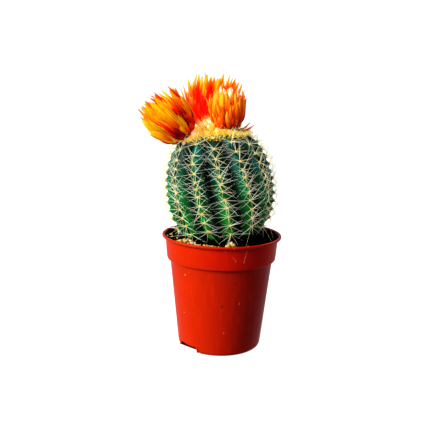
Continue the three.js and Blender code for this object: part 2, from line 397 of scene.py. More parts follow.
studio = {
    "eye": (0, -0.4329, 0.178), "ahead": (-0.0118, 0.9819, -0.1889), "roll": 0.025, "lens": 51.8,
    "key": 4.6, "keyFrom": (-0.74, -0.5, 0.56), "keySoft": 32, "keyColour": (1, 0.965, 0.9),
    "rim": 0.65, "rimFrom": (0.66, 0.34, 0.2), "rimSize": 0.3, "rimColour": (1, 0.7, 0.88),
    "aim": (0, 0, 0.1), "fill": 0.16, "shine": 0.35,
}


def lamp(kind, name, place, power, size, colour):
    bpy.ops.object.light_add(type=kind, location=place)
    made = bpy.context.object
    made.name = name
    made.data.energy, made.data.color = power, colour
    if kind == "SUN":
        made.data.angle = math.radians(size)
    else:
        made.data.size = size
    beam = Vector(studio["aim"]) - Vector(place)
    made.rotation_euler = beam.to_track_quat("-Z", "Y").to_euler()


ahead = Vector(studio["ahead"]).normalized()
right = ahead.cross(Vector((0, 0, 1))).normalized()
upward = right.cross(ahead)
tilted = right * math.cos(studio["roll"]) + upward * math.sin(studio["roll"])
upward = tilted.cross(ahead)
bpy.ops.object.camera_add()
camera = bpy.context.object
camera.data.lens, camera.data.sensor_width = studio["lens"], 36
camera.matrix_world = (Matrix.Translation(studio["eye"])
                       @ Matrix((tilted, upward, -ahead)).transposed().to_4x4())
bpy.context.scene.camera = camera
lamp("SUN", "keyLight", studio["keyFrom"], studio["key"], studio["keySoft"], studio["keyColour"])
lamp("AREA", "rimLight", studio["rimFrom"], studio["rim"], studio["rimSize"], studio["rimColour"])

# the backdrop is white to the camera, and weaker where it lights the object or shows in its gloss
world = bpy.data.worlds.new("studio")
bpy.context.scene.world = world
world.use_nodes = True
sky = world.node_tree.nodes["Background"]
sky.inputs["Color"].default_value = (1, 1, 1, 1)
rays, seen, shine, brighter = (world.node_tree.nodes.new("ShaderNode" + kind)
                               for kind in ("LightPath", "MapRange", "Math", "Math"))
seen.inputs[3].default_value, seen.inputs[4].default_value = studio["fill"], 1.0
shine.operation, brighter.operation = "MULTIPLY", "MAXIMUM"
shine.inputs[1].default_value = studio["shine"]
for source, target in ((rays.outputs["Is Glossy Ray"], shine.inputs[0]),
                       (rays.outputs["Is Camera Ray"], brighter.inputs[0]),
                       (shine.outputs[0], brighter.inputs[1]),
                       (brighter.outputs[0], seen.inputs[0]),
                       (seen.outputs[0], sky.inputs["Strength"])):
    world.node_tree.links.new(source, target)
view = bpy.context.scene.view_settings
view.view_transform = "Standard"
view.look = "Medium High Contrast"

bpy.ops.mesh.primitive_plane_add(size=12, location=(0, 0, -0.0003))
floor = bpy.context.object
floor.name = "floor"
floor.data.materials.append(paleFloor())
floor.visible_diffuse = floor.visible_glossy = False
print("camera, light and floor")


# The pot

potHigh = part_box("pot")[1]
pot = {
    "rim": potHigh.x, "height": potHigh.z, "foot": 0.0296, "taper": 0.007, "shoulder": 0.0639,
    "bandStep": 0.0022, "bandFlare": 0.0013, "lip": 0.0019, "lipDrop": 0.002, "wall": 0.0012,
    "floor": 0.0016, "sides": 144,
    "pocketTurns": (-47.5, 132.5), "pocketWidth": 0.017, "pocketHeight": 0.0049, "pocketDepth": 0.006,
    "pocketSlant": 0.22, "pocketDeeper": 0.0008, "pocketRound": 0.0018,
    # how much wider a pocket is at each height over the ground
    "pocketFlare": {0.003: 1.0, 0.002: 1.06, 0.0011: 1.16, 0.0004: 1.28}, "flareEnd": 2.0,
}


def arc(start, corner, end, steps=5):
    # points round a soft corner from start to end
    for i in range(steps + 1):
        t = i / steps
        yield tuple((1 - t) ** 2 * a + 2 * t * (1 - t) * b + t * t * c
                    for a, b, c in zip(start, corner, end))


def makePot():
    foot, rise, top, rim, wall = (pot[key] for key in ("foot", "shoulder", "height", "rim", "wall"))
    wallTop = foot + pot["taper"]
    band = wallTop + pot["bandStep"]
    bandTop = band + pot["bandFlare"]
    lip = top - pot["lipDrop"]
    outside = [
        (foot - 0.006, 0.0), *arc((foot - 0.003, 0), (foot, 0), (foot + 0.0003, 0.003)),
        *((foot + 0.0003 + (pot["taper"] - 0.0003) * share, 0.003 + (rise - 0.0033) * share)
          for share in (0.2, 0.4, 0.6, 0.8, 1)),
        *arc((wallTop + 0.0001, rise), (wallTop + 0.0004, rise + 0.0001),
             (wallTop + 0.001, rise + 0.0001), 2),
        *arc((band - 0.0009, rise + 0.0002), (band, rise + 0.0003), (band + 0.0001, rise + 0.0014)),
        (band + 0.0007, rise + 0.0075), (bandTop, lip - 0.0003),
        *arc((bandTop + 0.0003, lip), (rim, lip + 0.0001), (rim, lip + 0.0009)),
        *arc((rim, top - 0.0006), (rim, top), (rim - 0.0006, top)),
    ]
    inside = [
        *arc((rim - 0.0013, top), (rim - pot["lip"], top), (rim - pot["lip"] - 0.0002, top - 0.0008), 3),
        (bandTop - wall, lip - 0.0002), (band + 0.0001 - wall, rise + 0.0028),
        *arc((band - wall - 0.0002, rise + 0.001), (wallTop - wall, rise + 0.0005),
             (wallTop - wall - 0.0003, rise - 0.002), 3),
        (foot + 0.0003 - wall, 0.0036), (foot - 0.003 - wall, pot["floor"]),
    ]
    piece = turnedShape(outside + inside, pot["sides"])
    mesh = openMesh(piece)
    pick(mesh, [p for p in mesh.verts if abs(p.co.z - pot["floor"]) < 1e-6])
    bpy.ops.mesh.edge_face_add()
    pickAll()
    bpy.ops.mesh.remove_doubles(threshold=1e-6)
    faceOutwards()
    closeMesh()
    for degrees in pot["pocketTurns"]:
        housing = pocket(wall, degrees, foot - 0.0006)
        modify(piece, "BOOLEAN", operation="UNION", object=housing, solver="EXACT")
        hollow = pocket(0, degrees, foot + 0.004)
        modify(piece, "BOOLEAN", operation="DIFFERENCE", object=hollow, solver="EXACT")
        for tool in (housing, hollow):
            bpy.data.objects.remove(tool)

    def paintedRecessShade(point):
        # painted shade: the inner wall under the lip, and what lies behind the outer wall in a pocket, are
        # flagged to be painted near-black as if in shadow
        x, y, z = point.co
        if point.normal.x * x + point.normal.y * y < 0 and z < top - 0.0005:
            return 1.0
        behind = foot - (0.0007 if z > 0.0009 else 0.0016)
        return float(z < pot["pocketHeight"] + 0.0004 and math.hypot(x, y) < behind)

    note(piece, "inside", [paintedRecessShade(point) for point in piece.data.vertices])
    return piece


def pocket(grow, degrees, reach):
    # a low arch in the foot that flares at the ground, from inside the pot out to the given reach;
    # one that grows by the wall's thickness is the housing round it
    width, height = pot["pocketWidth"] + 2 * grow, pot["pocketHeight"] + grow
    back = pot["foot"] - pot["pocketDepth"] - grow
    low = -0.003 if grow == 0 else 0.0004
    bpy.ops.mesh.primitive_cube_add(size=1, location=(0, -(back + reach) / 2, (height + low) / 2))
    tool = bpy.context.object
    tool.scale = (width, reach - back, height - low)
    bpy.ops.object.transform_apply(location=True, scale=True)
    mesh = openMesh(tool)
    for edge in mesh.edges:
        middle = (edge.verts[0].co + edge.verts[1].co) / 2
        edge.select = middle.z > height - 1e-6 and abs(middle.x) > width / 2 - 1e-6
    bpy.ops.mesh.bevel(offset=pot["pocketRound"], segments=4)
    for point in mesh.verts:
        if point.co.y > -back - 1e-6:  # the back wall runs slantwise, deeper at one end
            point.co.y += pot["pocketSlant"] * point.co.x - pot["pocketDeeper"]
    if grow == 0:
        for cut in pot["pocketFlare"]:
            pickAll()
            bpy.ops.mesh.bisect(plane_co=(0, 0, cut), plane_no=(0, 0, 1))
        mesh = bmesh.from_edit_mesh(tool.data)
        for z, wider in (*pot["pocketFlare"].items(), (low, pot["flareEnd"])):
            pick(mesh, [p for p in mesh.verts if abs(p.co.z - z) < 1e-6])
            stretch(wider, 1, 1)
    closeMesh()
    tool.rotation_euler.z = math.radians(degrees)
    makeActive(tool)
    bpy.ops.object.transform_apply(rotation=True)
    return tool


finishPiece(makePot(), "pot", potPlastic(), ["pot"], 35)
print("pot")


# The stem, in its own frame and then leaned into place

stem = {
    "ribs": 14, "radius": 0.0381, "half": 0.0414, "low": 0.0338, "barrel": 0.28, "lowBarrel": 0.25,
    "groove": 0.19, "centre": (-0.0023, 0.0019, 0.112), "lean": -0.108, "phase": 0.09, "twist": -0.153,
    "ribSteps": 12, "levels": 92, "notch": 0.02,
    # where the areoles start, how far apart they are, and how fast that grows, in millimetres
    "areoleStart": 7, "areoleGap": 4.9, "areoleSpread": 0.17,
}
plant = Matrix.Translation(stem["centre"]) @ Matrix.Rotation(stem["lean"], 4, "Y")


def bodyRadius(z):
    reach, barrel = (stem["low"], stem["lowBarrel"]) if z < 0 else (stem["half"], stem["barrel"])
    return stem["radius"] * max(0.0, 1 - (z / reach) ** 2) ** barrel


def crestTurn(rib, z):
    return stem["phase"] + rib * math.tau / stem["ribs"] + stem["twist"] * z / stem["half"]


def areoleHeight(place):
    # areoles stand closest a little over the middle, and wider apart above and below
    drop = stem["areoleGap"] * place
    return (stem["areoleStart"] - drop - stem["areoleSpread"] * place * abs(place)) * mm


def areolePhase(z):
    # the turn of the wave that peaks at each areole of the odd ribs
    low, high = -8.0, 8.0
    for _ in range(24):
        middle = (low + high) / 2
        low, high = (middle, high) if areoleHeight(middle) > z else (low, middle)
    return low * math.tau


def makeStem():
    around, perRib, half = stem["ribs"] * stem["ribSteps"], stem["ribSteps"], stem["half"]
    bpy.ops.mesh.primitive_uv_sphere_add(segments=around, ring_count=stem["levels"], radius=half)
    piece = bpy.context.object

    def step(point):
        return round(math.atan2(point.x, -point.y) / math.tau * around) % around

    def fromCrest(at):
        return abs((at / perRib + 0.5) % 1 - 0.5) * 2

    note(piece, "valley", [fromCrest(step(p.co)) for p in piece.data.vertices])
    mesh = openMesh(piece)
    steps = {point: step(point.co) for point in mesh.verts if math.hypot(point.co.x, point.co.y) > 1e-6}
    rings = grouped(steps, lambda point: round(point.co.z, 7))
    for side, points in grouped(steps, lambda point: steps[point] % perRib).items():
        pick(mesh, points)
        inward = 1 - stem["groove"] * fromCrest(side) ** 1.35
        stretch(inward, inward, 1)
    for level, points in rings.items():
        z = level * (stem["low"] / half if level < 0 else 1)
        wave = stem["notch"] * math.cos(areolePhase(z))
        crests = [p for p in points if (steps[p] + 1) % perRib <= 2]
        for odd in (0, 1):
            pick(mesh, [p for p in crests if round(steps[p] / perRib) % 2 == odd])
            swell = 1 + (wave if odd else -wave)
            stretch(swell, swell, 1)
        pick(mesh, points)
        fit = bodyRadius(z) / math.sqrt(half ** 2 - level ** 2)
        stretch(fit, fit, 1)
        shift(0, 0, z - level)
        bpy.ops.transform.rotate(value=-crestTurn(0, z), orient_axis="Z", center_override=(0, 0, 0))
    pick(mesh, [p for p in mesh.verts if p.co.z < -0.999 * half])
    shift(0, 0, half - stem["low"])
    closeMesh()
    piece.data.transform(plant)
    return piece


stemPiece = makeStem()
finishPiece(stemPiece, "stem", flesh(), ["stem"], 60)
print("stem")


def onRib(rib, z):
    # the point on a rib's crest, and the directions out of it, up it and across it
    turn = crestTurn(rib, z)
    slope = (bodyRadius(z + 0.5 * mm) - bodyRadius(z - 0.5 * mm)) / mm
    radial = Vector((math.sin(turn), -math.cos(turn), 0))
    out = (radial - Vector((0, 0, slope))).normalized()
    start = plant @ (radial * (bodyRadius(z) + 0.004) + Vector((0, 0, z)))
    hit, point, _, _ = stemPiece.ray_cast(start, -(plant.to_3x3() @ radial))
    out = plant.to_3x3() @ out
    across = (plant.to_3x3() @ Vector((math.cos(turn), math.sin(turn), 0))).normalized()
    return (point if hit else start), out, out.cross(across).normalized() * -1, across


# Areoles and spines

# lengths are in millimetres and lifts in degrees
spines = {
    "lowest": -27.5, "highest": 40.2, "jitter": 0.4, "thick": 0.128, "point": 0.12,
    "tuftSize": (0.85, 1.1), "tuftShape": (0.85, 1.15, 0.6),
    "sides": 3, "sideLength": (8.0, 13.5), "sideLift": (3, 20), "sideFrom": 46, "sideFan": 92,
    "ends": 1, "endLength": (5.0, 8.0), "endLift": (15, 50),
    "centrals": 2, "centralLength": (12.0, 17.5), "centralLift": (12, 45), "upturned": 0.12,
    "wisps": 5, "wispLength": (10.0, 17.0), "wispLift": (20, 75),
}


def needleModel(sides, thick, bow):
    # a thin cone one metre long, for copies to shorten, bowed by a share of its thickness
    bpy.ops.mesh.primitive_cone_add(vertices=sides, radius1=1, radius2=spines["point"], depth=1,
                                    location=(0, 0, 0.5))
    piece = bpy.context.object
    bpy.ops.object.transform_apply(location=True)
    openMesh(piece)
    cuts = (0.33, 0.66)
    for cut in cuts:
        pickAll()
        bpy.ops.mesh.bisect(plane_co=(0, 0, cut), plane_no=(0, 0, 1))
    mesh = bmesh.from_edit_mesh(piece.data)
    for cut in cuts:
        pick(mesh, [p for p in mesh.verts if abs(p.co.z - cut) < 0.02])
        shift(bow, 0, 0)
    closeMesh()
    note(piece, "along", [p.co.z for p in piece.data.vertices])
    piece.data.transform(Matrix.Diagonal((thick, thick, 1, 1)))
    return piece


def pointing(direction, at, length, spin, thick=1.0):
    turned = direction.to_track_quat("Z", "Y").to_matrix().to_4x4()
    return (Matrix.Translation(at) @ turned @ Matrix.Rotation(spin, 4, "Z")
            @ Matrix.Diagonal((thick, thick, length, 1)))


def lumpModel(subdivisions, rough, seed):
    bpy.ops.mesh.primitive_ico_sphere_add(subdivisions=subdivisions, radius=1)
    piece = bpy.context.object
    openMesh(piece)
    pickAll()
    bpy.ops.transform.vertex_random(offset=rough, seed=seed)
    closeMesh()
    return piece


def makeRib(rib):
    needles, tints, tufts, tuftTints = [], [], [], []

    def grow(base, axes, angle, lift, length, thick, tint):
        out, up, across = axes
        flat = up * math.cos(angle) + across * math.sin(angle)
        direction = flat * math.cos(lift) + out * math.sin(lift)
        needles.append(pointing(direction, base, length * mm, chance.uniform(*anyTurn), thick))
        tints.append(min(1.0, max(0.0, tint)))

    for index in range(-7, 9):
        z = areoleHeight(index - (0.0 if rib % 2 else 0.5))
        if not spines["lowest"] * mm < z < spines["highest"] * mm:
            continue
        z += chance.uniform(-spines["jitter"], spines["jitter"]) * mm
        point, *axes = onRib(rib, z)
        out, up, across = axes
        high = max(0.0, z / stem["half"] - 0.3) / 0.7
        facing = Matrix((across, up, out)).transposed().to_4x4()
        size = chance.uniform(*spines["tuftSize"]) * mm
        shape = Matrix.Diagonal((*(share * size for share in spines["tuftShape"]), 1))
        tufts.append(Matrix.Translation(point - out * 0.1 * mm) @ facing @ shape)
        tuftTints.append(min(1.0, max(0.0, chance.gauss(0.08 + 0.6 * high, 0.14))))
        base = point + out * 0.25 * mm
        for side in (-1, 1):
            for i in range(spines["sides"]):
                fan = spines["sideFan"] * (i + chance.uniform(0.1, 0.9)) / spines["sides"]
                grow(base, axes, side * math.radians(spines["sideFrom"] + fan),
                     math.radians(chance.uniform(*spines["sideLift"])),
                     chance.uniform(*spines["sideLength"]), 1.0, chance.uniform(-0.2, 0.2) + 0.3 * high)
        for i in range(spines["ends"]):
            grow(base, axes, math.pi * i + chance.uniform(-0.5, 0.5),
                 math.radians(chance.uniform(*spines["endLift"])),
                 chance.uniform(*spines["endLength"]), 0.9, chance.uniform(0, 0.5))
        for i in range(spines["centrals"]):
            angle = math.pi + chance.uniform(-0.9, 0.9)
            if chance.random() < spines["upturned"]:
                angle += math.pi
            grow(base, axes, angle, math.radians(chance.uniform(*spines["centralLift"])),
                 chance.uniform(*spines["centralLength"]), 1.2, chance.uniform(-0.2, 0.25) + 0.2 * high)
        for i in range(round(spines["wisps"] * (0.2 + high))):
            grow(base, axes, chance.uniform(-1.2, 1.2), math.radians(chance.uniform(*spines["wispLift"])),
                 chance.uniform(*spines["wispLength"]), 0.75, chance.uniform(0.6, 1.0))
    name = f"rib{rib + 1:02d}"
    finishPiece(copyJoined(spineModel, needles, tint=tints), name + "Spines", spineFinish)
    finishPiece(copyJoined(tuft, tufts, tint=tuftTints), name + "Areoles", feltFinish,
                [f"rib_{rib + 1:02d}_areoles"])


spineModel = needleModel(5, spines["thick"] * mm, 0.02)
tuft = lumpModel(2, 0.16, 3)
# painted glow: the spines give out a little of their own colour as light
spineFinish = horn("spineHorn", (0.8, 0.6, 0.08), (0.9, 0.98, 0.8), (0.93, 1.0, 0.92), 0.22)
feltFinish = felt("areoleFelt", (0.72, 0.26, 0.002), (1.0, 0.5, 0.01), (1.0, 0.92, 0.55))
for rib in range(stem["ribs"]):
    makeRib(rib)
print("areoles and spines")


# The crown's wool and bristles

crown = {
    "radius": 0.0165, "rise": 8.6, "cloud": 0.006, "depth": 0.0028,
    "tufts": 240, "tuftSize": (0.8, 1.9), "tuftShape": (1, 0.7, 1.2), "white": 0.5,
    "bristles": 1500, "bristleLength": (3.0, 7.5), "bristleThick": 0.2, "fringe": 1.42,
}


def crownHeight(r):
    return stem["half"] * math.sqrt(max(0.0, 1 - min(1.0, r / stem["radius"]) ** (1 / stem["barrel"])))


def woolTop(r):
    return crownHeight(r) + (crown["rise"] * math.cos(min(1.0, r / crown["radius"]) * 1.5) - 0.2) * mm


def crownSpot(r, turn, sink):
    return Vector((r * math.sin(turn), -r * math.cos(turn), woolTop(r) - sink * mm))


def makeWool():
    bpy.ops.mesh.primitive_uv_sphere_add(segments=72, ring_count=48, radius=crown["radius"])
    piece = bpy.context.object
    mesh = openMesh(piece)
    for z, points in grouped(mesh.verts, lambda point: round(point.co.z, 7)).items():
        r = math.hypot(points[0].co.x, points[0].co.y)
        goal = woolTop(r) if z >= 0 else crownHeight(r) - 0.3 * mm
        pick(mesh, points)
        shift(0, 0, goal - z)
    closeMesh()
    cloud = bpy.data.textures.new("woolCloud", "CLOUDS")
    cloud.noise_scale, cloud.noise_depth = crown["cloud"], 3
    modify(piece, "DISPLACE", texture=cloud, texture_coords="GLOBAL", strength=crown["depth"], mid_level=0.6)
    piece.data.transform(plant)
    return piece


def makeWoolTufts():
    places, tints = [], []
    for _ in range(crown["tufts"]):
        r = crown["radius"] * chance.random() ** 0.5
        spot = crownSpot(r, chance.uniform(0, math.tau), -0.5)
        size = chance.uniform(*crown["tuftSize"]) * mm * (1.15 - 0.5 * r / crown["radius"])
        lean = Matrix.Rotation(chance.uniform(*anyTurn), 4, (chance.random(), chance.random(), 1))
        shape = Matrix.Diagonal((*(size * share for share in crown["tuftShape"]), 1))
        places.append(plant @ Matrix.Translation(spot) @ lean @ shape)
        white = 0.9 if r < 0.75 * crown["radius"] and chance.random() < crown["white"] else 0.0
        tints.append(min(1.0, white + chance.uniform(0, 0.3)))
    return copyJoined(tuft, places, tint=tints)


def makeBristles():
    model = needleModel(4, crown["bristleThick"] * mm, 0.05)
    places, tints = [], []
    for _ in range(crown["bristles"]):
        r = crown["radius"] * crown["fringe"] * chance.random() ** 0.6
        turn = chance.uniform(0, math.tau)
        spread = 0.15 + 1.0 * r / crown["radius"]
        lean = Vector((math.sin(turn) * spread, -math.cos(turn) * spread, 1)).normalized()
        lean = (lean + Vector(chance.gauss(0, 0.3) for _ in range(3))).normalized()
        length = chance.uniform(*crown["bristleLength"]) * mm
        places.append(plant @ pointing(lean, crownSpot(r, turn, 1.2), length, chance.uniform(*anyTurn)))
        tints.append(chance.random() * 0.8)
    row = copyJoined(model, places, tint=tints)
    bpy.data.objects.remove(model)
    return row


# painted glow: the wool tufts and the crown's bristles give out some of their own colour as light
woolFelt = felt("woolFelt", (0.9, 0.42, 0.004), (1.0, 0.7, 0.04), (1.0, 0.93, 0.86), 0.4)
finishPiece(makeWool(), "crownWool", crownWool(), ["crown_wool"], 80)
finishPiece(makeWoolTufts(), "crownTufts", woolFelt, smooth=80)
finishPiece(makeBristles(), "crownBristles",
            horn("crownBristle", (0.9, 0.45, 0.005), (1.0, 0.7, 0.03), (1.0, 0.9, 0.3), 0.25))
print("crown")


# The flower heads

heads = {
    "left": {
        "at": (-19.4, -10.4, 41.2), "faces": (-0.62, -0.16, 0.76), "width": 1.0, "bulge": 2.0,
        # painted light: the bracts on the side facing the light are painted paler; the pair gives that side
        # and by how much
        "litSide": (-0.7, 0.4),  # the side where the bracts are paler, and by how much
        # bracts in each whorl, length, how far open at the foot, size of the foot's ring
        "whorls": ((18, 12, 36, 4.8), (22, 18, 34, 4.6), (24, 24, 31, 4.2), (24, 29, 27, 3.8),
                   (21, 32, 20, 3.0), (17, 33, 13, 2.0), (9, 33, 6, 1.2)),
    },
    "back": {
        "at": (-4.0, 13.2, 45.0), "faces": (0.3, 0.27, 0.91), "width": 1.05, "bulge": 2.0,
        "litSide": (3.1, 0.2),
        "whorls": ((18, 12, 44, 4.6), (22, 20, 40, 4.4), (26, 27, 36, 4.2), (27, 32, 31, 3.8),
                   (24, 34, 26, 3.2), (19, 35, 18, 2.4), (11, 35, 8, 1.4)),
        # towards which side, how far open, length
        "strays": ((-1.57, 47, 32), (-1.4, 43, 33), (-1.2, 39, 32), (1.0, 28, 35),
                   (1.3, 24, 36), (1.6, 27, 36), (1.9, 22, 36)),
    },
    "right": {
        "at": (9.2, -8.2, 43.6), "faces": (0.05, -0.05, 1), "width": 0.9, "bulge": 1.7, "litSide": (-1.2, 0.3),
        "whorls": ((16, 9, 46, 3.6), (20, 14, 38, 3.5), (23, 19, 31, 3.4), (24, 23, 25, 3.2),
                   (21, 24.5, 18, 2.8), (14, 24, 11, 2.0), (9, 24.5, 5, 1.2)),
        # a gap in some whorls, towards one side, through which the disc shows
        "gap": {"whorls": (3, 4), "towards": -0.12, "half": 0.18},
        "strays": ((1.45, 84, 15), (1.75, 76, 13)),
    },
}
bract = {"length": 0.03, "width": 0.0043, "thick": 0.00022, "foot": 0.42, "midrib": 0.05}


def bractModel(name, widest, bulge, cup, lean, curl):
    # stands on its foot at the origin, with its back towards +Y
    bpy.ops.mesh.primitive_grid_add(x_subdivisions=4, y_subdivisions=10, size=1)
    piece = bpy.context.object
    piece.name = name
    piece.data.transform(Matrix.Rotation(math.pi / 2, 4, "X"))
    piece.data.transform(Matrix.Translation((0, 0, 0.5)))
    note(piece, "along", [p.co.z for p in piece.data.vertices])
    mesh = openMesh(piece)
    rows = grouped(mesh.verts, lambda point: round(point.co.z, 4))
    for x, points in grouped(mesh.verts, lambda point: round(point.co.x, 4)).items():
        pick(mesh, points)
        shift(0, -cup * (2 * x) ** 2 + (bract["midrib"] if abs(x) < 0.1 else 0), 0)
    for z, points in rows.items():
        past = (z - widest) / (1 - widest)
        if past < 0:
            wide = bract["foot"] + (1 - bract["foot"]) * (z / widest) ** 0.7
        else:
            wide = max(0.03, 1 - past ** 2.6)
        pick(mesh, points)
        stretch(wide, wide, 1, (0, 0, z))
        shift(lean * z * z, bulge * math.sin(math.pi * z) - curl * z ** 3, 0)
    closeMesh()
    piece.data.transform(Matrix.Diagonal((bract["width"], bract["width"], bract["length"], 1)))
    modify(piece, "SOLIDIFY", thickness=bract["thick"], offset=0)
    return piece


bractModels = [
    bractModel("bractBroad", 0.56, 0.55, 0.2, 0.1, 0.25),
    bractModel("bractNarrow", 0.48, 0.65, 0.26, -0.2, 0.1),
    bractModel("bractHooked", 0.6, 0.5, 0.18, 0.35, -0.1),
]


def headFrame(head):
    turned = Vector(head["faces"]).normalized().to_track_quat("Z", "Y").to_matrix().to_4x4()
    return plant @ Matrix.Translation(Vector(head["at"]) * mm) @ turned


def makeWhorls(head, chosen):
    byModel = [([], [], []) for _ in bractModels]
    headHere, gap = headFrame(head), head.get("gap")
    longest = max(whorl[1] for whorl in head["whorls"])
    litSide, paintedLitSide = head["litSide"]

    def shareOf(length):
        # shorter bracts are narrower, and less of them is pale
        return 0.35 + 0.65 * length / longest

    def bractPlace(turn, ring, rise, opens, wide, tall):
        return (headHere @ Matrix.Rotation(turn, 4, "Z") @ Matrix.Translation((0, ring * mm, rise * mm))
                @ Matrix.Rotation(-math.radians(opens), 4, "X")
                @ Matrix.Rotation(chance.uniform(-0.25, 0.25), 4, "Z")
                @ Matrix.Diagonal((wide, wide * head["bulge"], tall * mm / bract["length"], 1)))

    def keep(model, *values):
        for kept, value in zip(byModel[model], values):
            kept.append(value)

    for number in chosen:
        count, length, opens, ring = head["whorls"][number]
        share = shareOf(length)
        for i in range(count):
            turn = (i + 0.5 * (number % 2) + chance.uniform(-0.22, 0.22)) / count * math.tau
            tall = length * chance.uniform(0.86, 1.05)
            wide = head["width"] * chance.uniform(0.72, 1.1) * (0.6 + 0.4 * share)
            place = bractPlace(turn, ring, 0.4 + number * 0.45, opens + chance.uniform(-5, 5), wide, tall)
            facing = place.to_3x3() @ Vector((0, 1, 0))
            aside = math.atan2(facing.x, -facing.y)
            model = chance.randrange(len(bractModels))
            # painted light: the tint is raised on the side facing the light, which paints those bracts paler
            tint = min(1.0, max(0.0, chance.random() + paintedLitSide * math.cos(aside - litSide)))
            if not (gap and number in gap["whorls"] and abs(aside - gap["towards"]) < gap["half"]):
                keep(model, place, tint, share)
    if 0 in chosen:
        for side, opens, length in head.get("strays", ()):
            aim = headHere.to_3x3().inverted() @ Vector((math.sin(side), -math.cos(side), 0))
            turn = math.atan2(-aim.x, aim.y)
            keep(0, bractPlace(turn, 3.6, -0.4, opens, 0.6, length), 0.4, shareOf(length))
    return joinAll([copyJoined(bractModels[i], places, tint=tints, tall=talls)
                    for i, (places, tints, talls) in enumerate(byModel) if places])


# the woody base in the middle of a head: radius and height, in millimetres
base = {
    "outline": ((1.2, -6), (2.3, -5.4), (2.6, -3), (3.8, -1.2), (4.3, 0), (3.6, 1.4), (1.8, 2.6), (0.4, 2.9)),
    "sides": 24, "rough": 0.12,
}


def makeBase(head):
    piece = turnedShape([(radius * mm, height * mm) for radius, height in base["outline"]], base["sides"])
    mesh = openMesh(piece)
    pick(mesh, [p for p in mesh.verts if p.co.z > (base["outline"][-1][1] - 0.05) * mm])
    bpy.ops.mesh.edge_face_add()
    pickAll()
    bpy.ops.transform.vertex_random(offset=base["rough"] * mm, seed=5)
    faceOutwards()
    closeMesh()
    piece.data.transform(headFrame(head))
    return piece


florets = {"count": 70, "reach": 2.6, "foot": 2.2, "length": (6, 10), "thick": 0.28, "spread": 0.12}


def makeFlorets(head, model):
    places, tints = [], []
    for _ in range(florets["count"]):
        r, turn = florets["reach"] * math.sqrt(chance.random()), chance.uniform(0, math.tau)
        foot = Vector((r * math.cos(turn), r * math.sin(turn), florets["foot"])) * mm
        lean = Vector((r * math.cos(turn) * florets["spread"], r * math.sin(turn) * florets["spread"], 1))
        lean += Vector((chance.gauss(0, 0.1), chance.gauss(0, 0.1), 0))
        length = chance.uniform(*florets["length"]) * mm
        places.append(headFrame(head) @ pointing(lean.normalized(), foot, length, chance.uniform(*anyTurn)))
        tints.append(chance.random())
    return copyJoined(model, places, tint=tints)


collar = {"tufts": 54, "ring": (2.6, 6.0), "height": (-5.0, -1.4), "size": (0.7, 1.5), "flat": 0.8}


def makeCollar(head):
    # wool that clings round the foot of a flower head
    places, tints = [], []
    for _ in range(collar["tufts"]):
        turn, r = chance.uniform(0, math.tau), chance.uniform(*collar["ring"])
        spot = Vector((r * math.cos(turn), r * math.sin(turn), chance.uniform(*collar["height"]))) * mm
        size = chance.uniform(*collar["size"]) * mm
        shape = Matrix.Diagonal((size, size, size * collar["flat"], 1))
        places.append(headFrame(head) @ Matrix.Translation(spot) @ shape)
        tints.append(min(1.0, chance.random() ** 2 * 1.2))
    return copyJoined(tuft, places, tint=tints)


# painted glow: the bracts give out some of their own colour as light, which lifts their shaded sides
paper = {
    "left": bractPaper("leftBracts", (0.14, 0.002, 0.0005), (0.76, 0.009, 0.0005), (1.0, 0.15, 0.0003),
                       (1.0, 0.52, 0.002), (0.86, 0.004, 0.0005), 1.0, 0.5, 0.2),
    "back": bractPaper("backBracts", (0.12, 0.002, 0.001), (0.8, 0.001, 0.0002), (0.86, 0.002, 0.0002),
                       (1.0, 0.45, 0.002), (0.9, 0.06, 0.0003), 0.3, 0.62, 0.4),
    "right": bractPaper("rightBracts", (0.03, 0.001, 0.0005), (0.36, 0.008, 0.0005), (0.9, 0.11, 0.0005),
                        (1.0, 0.42, 0.01), (0.7, 0.025, 0.0005), 0.6, 0.62, 0.22),
}
cream = bractPaper("creamBracts", (0.8, 0.3, 0.03), (0.9, 0.5, 0.12), (1.0, 0.8, 0.52),
                   (1.0, 0.96, 0.84), (0.95, 0.5, 0.1), 0.3, 0.5, 0.12)
woodyBase = fibre("bractBase", (0.16, 0.02, 0.01), (0.03, 0.008, 0.006))
floretModel = needleModel(4, florets["thick"] * mm, 0.04)
floretFinish = horn("florets", (0.85, 0.55, 0.15), (0.95, 0.85, 0.5), (0.98, 0.95, 0.8))
for name, head in heads.items():
    side = name.title()
    for place, chosen, finish in (("outer", (0, 1, 2), paper[name]), ("middle", (3, 4), paper[name]),
                                  ("inner", (5, 6), cream if name == "right" else paper[name])):
        finishPiece(makeWhorls(head, chosen), f"{place}Bracts{side}", finish,
                    [f"flower_{name}_{place}_bracts"], 70)
    finishPiece(makeBase(head), f"flowerBase{side}", woodyBase, [f"flower_{name}_base"])
    finishPiece(makeFlorets(head, floretModel), f"florets{side}", floretFinish,
                [f"flower_{name}_disc"])
    finishPiece(makeCollar(head), f"collar{side}", woolFelt, smooth=80)
print("flower heads")


# Soil, crumbs, granules and loose fibres

soil = {"height": 0.0796, "mound": 0.0004, "edge": 0.0386, "rings": 30, "cloud": 0.005, "depth": 0.0026}
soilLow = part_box("soil")[0]


def soilTop(r):
    return soil["height"] + soil["mound"] * (1 - r / pot["rim"])


